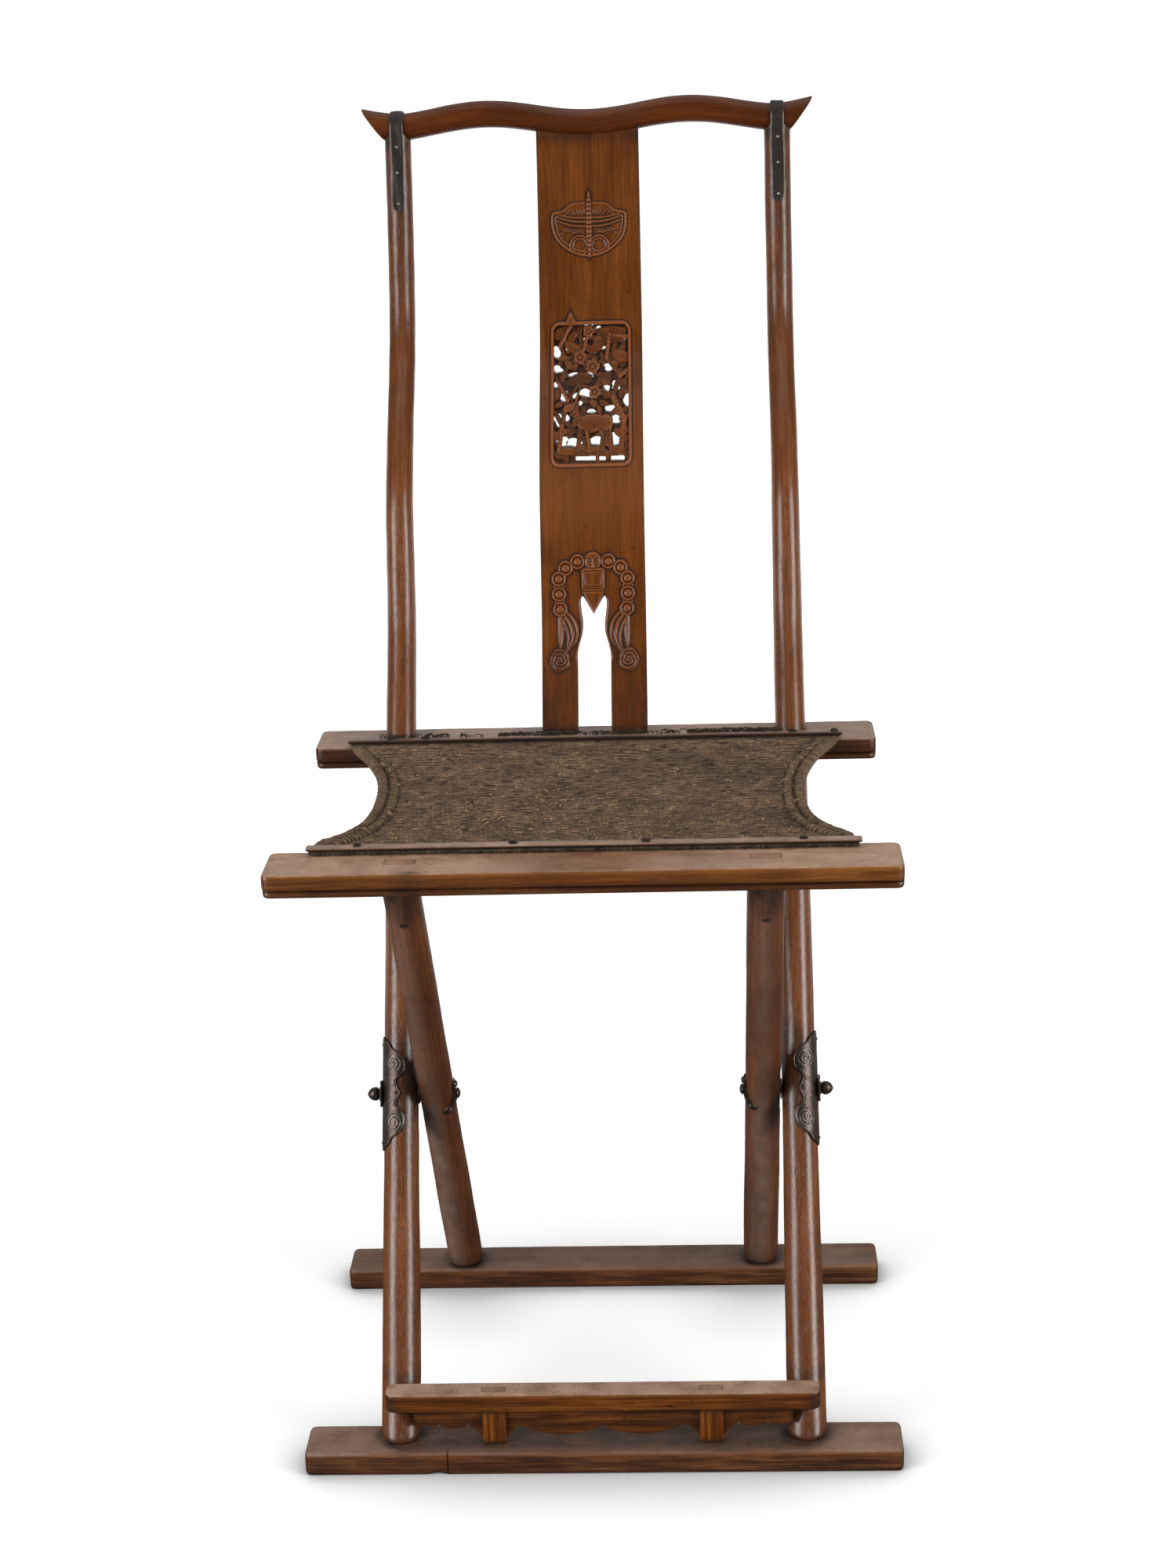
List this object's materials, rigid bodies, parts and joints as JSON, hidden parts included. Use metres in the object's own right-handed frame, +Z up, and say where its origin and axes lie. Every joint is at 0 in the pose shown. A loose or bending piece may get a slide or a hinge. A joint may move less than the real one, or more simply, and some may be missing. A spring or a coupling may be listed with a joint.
{
  "type": "yoke-back folding chair",
  "caption": "Folding wooden chair with a wavy crest rail, an S-curved openwork splat, round crossed legs on iron pins, a woven seat and a footrest.",
  "frame": {"origin": "middle of the chair's footprint on the floor, chair open", "axes": "+Z up, -Y the way the sitter faces, X along the rails and the pivot axis"},
  "size_m": [0.512, 0.6144, 1.1043],
  "materials": {
    "stained_wood": "semi-gloss old lacquer",
    "worn_rail_wood": "worn satin",
    "dark_leg_wood": "dark semi-gloss lacquer",
    "dark_iron": "dark worn forged iron",
    "woven_hemp": "matte woven cord"
  },
  "bodies": {
    "back_frame": {"crest_rail": "stained_wood", "footrest_apron_centre": "stained_wood", "footrest_apron_left": "stained_wood", "footrest_apron_right": "stained_wood", "footrest_board": "stained_wood", "footrest_strut_left": "stained_wood", "footrest_strut_right": "stained_wood", "front_foot_bar": "dark_leg_wood", "leg_plate_left": "dark_iron", "leg_plate_right": "dark_iron", "petal_washer_left": "dark_iron", "petal_washer_right": "dark_iron", "pivot_pin_left": "dark_iron", "pivot_pin_right": "dark_iron", "pivot_washer_left": "dark_iron", "pivot_washer_right": "dark_iron", "rear_batten": "worn_rail_wood", "rear_seat_rail": "worn_rail_wood", "seat_webbing": "woven_hemp", "splat": "stained_wood", "stile_left": "stained_wood", "stile_right": "stained_wood", "strap_iron_left": "dark_iron", "strap_iron_right": "dark_iron"},
    "seat_frame": {"front_batten": "worn_rail_wood", "front_seat_rail": "worn_rail_wood", "inner_leg_left": "dark_leg_wood", "inner_leg_right": "dark_leg_wood", "rear_foot_bar": "dark_leg_wood", "trefoil_plate_left": "dark_iron", "trefoil_plate_right": "dark_iron"}
  },
  "joints": [
    {"name": "fold", "type": "hinge", "parent": "back_frame", "child": "seat_frame", "pos_m": [0, -0.09477, 0.28161], "axis": [-1, 0, 0], "range_deg": [0, 50], "deforming": ["seat_webbing"]}
  ]
}
